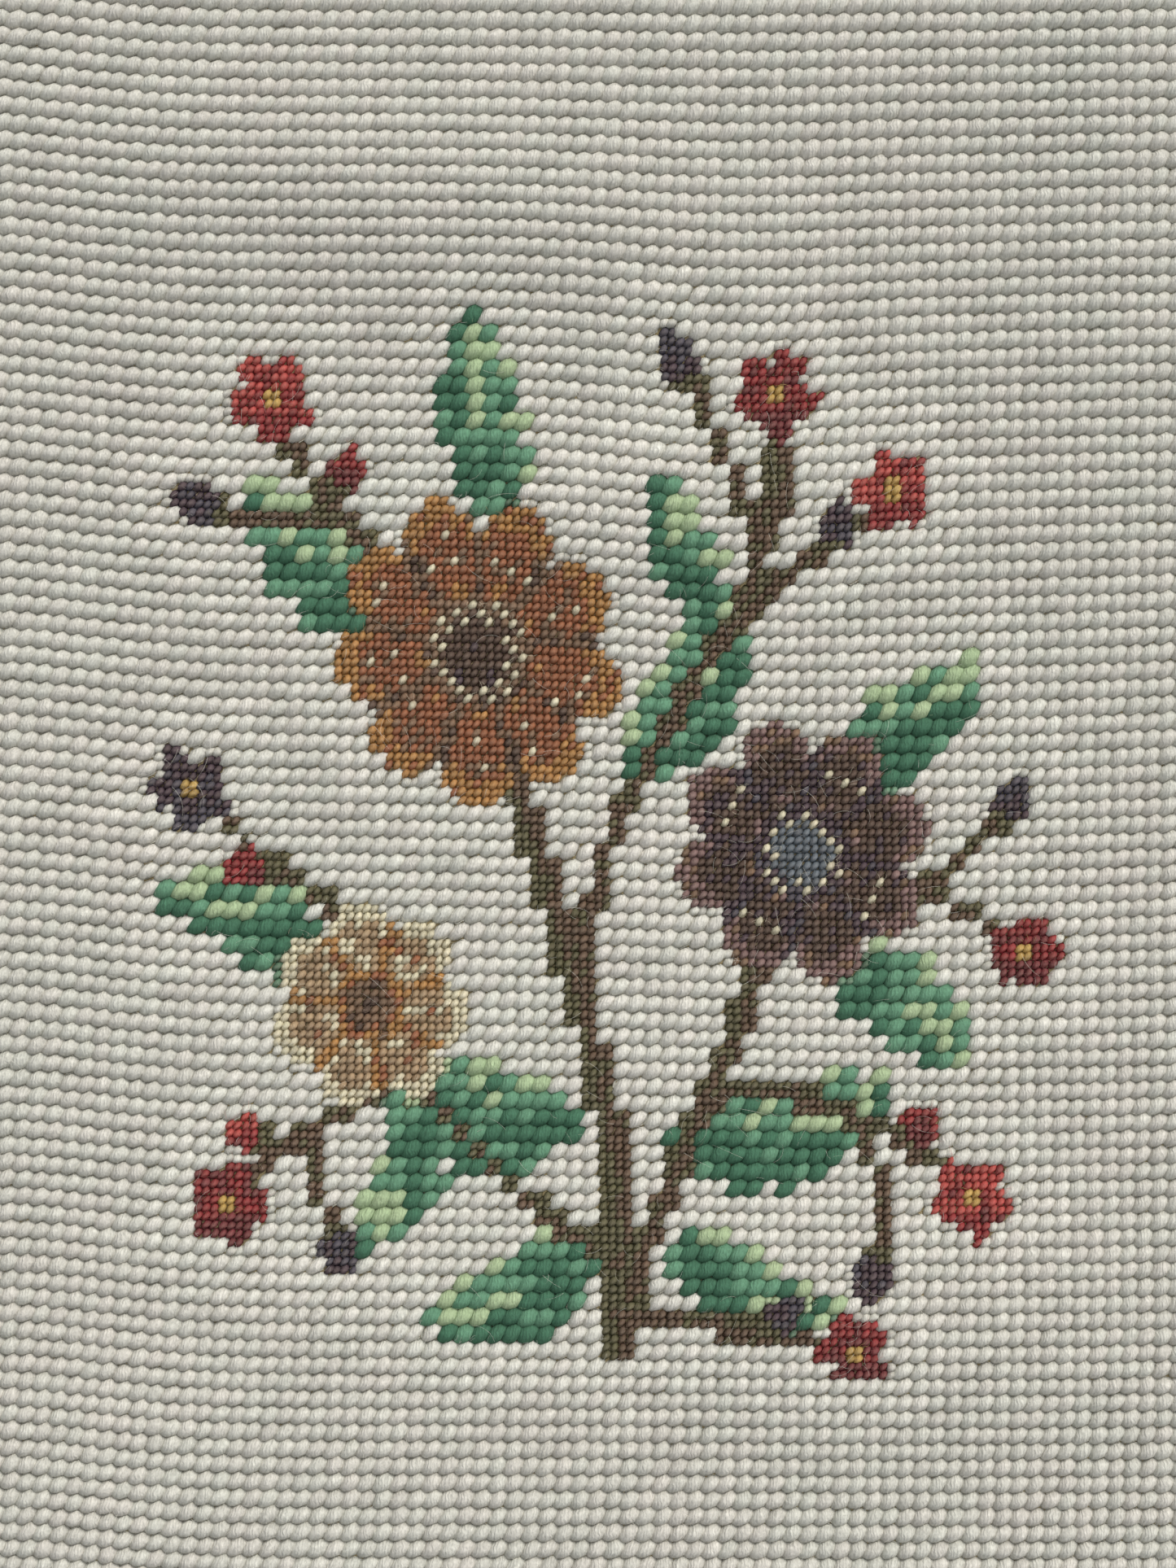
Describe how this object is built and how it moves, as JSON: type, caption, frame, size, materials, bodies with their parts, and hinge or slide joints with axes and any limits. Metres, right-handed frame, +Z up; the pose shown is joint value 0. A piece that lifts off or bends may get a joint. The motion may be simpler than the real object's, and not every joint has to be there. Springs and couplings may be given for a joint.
{
  "type": "needlepoint canvas panel",
  "caption": "Flat panel of double-thread canvas covered in slanted wool stitches with a small flower spray, trimmed to a bare canvas margin and lying in soft ripples.",
  "frame": {"origin": "middle of the panel's outline, on the surface that it rests on", "axes": "+Z up out of the worked face; +Y towards the top of the design, along the panel's length; +X across it"},
  "size_m": [0.2316, 0.2886, 0.0045],
  "materials": {
    "ground_wool": "matte",
    "canvas_thread": "matte",
    "leaf_wool": "matte",
    "stem_wool": "matte",
    "flower_wool": "matte",
    "bud_wool": "matte"
  },
  "bodies": {
    "root": {"canvas_panel": "ground_wool"}
  },
  "joints": []
}
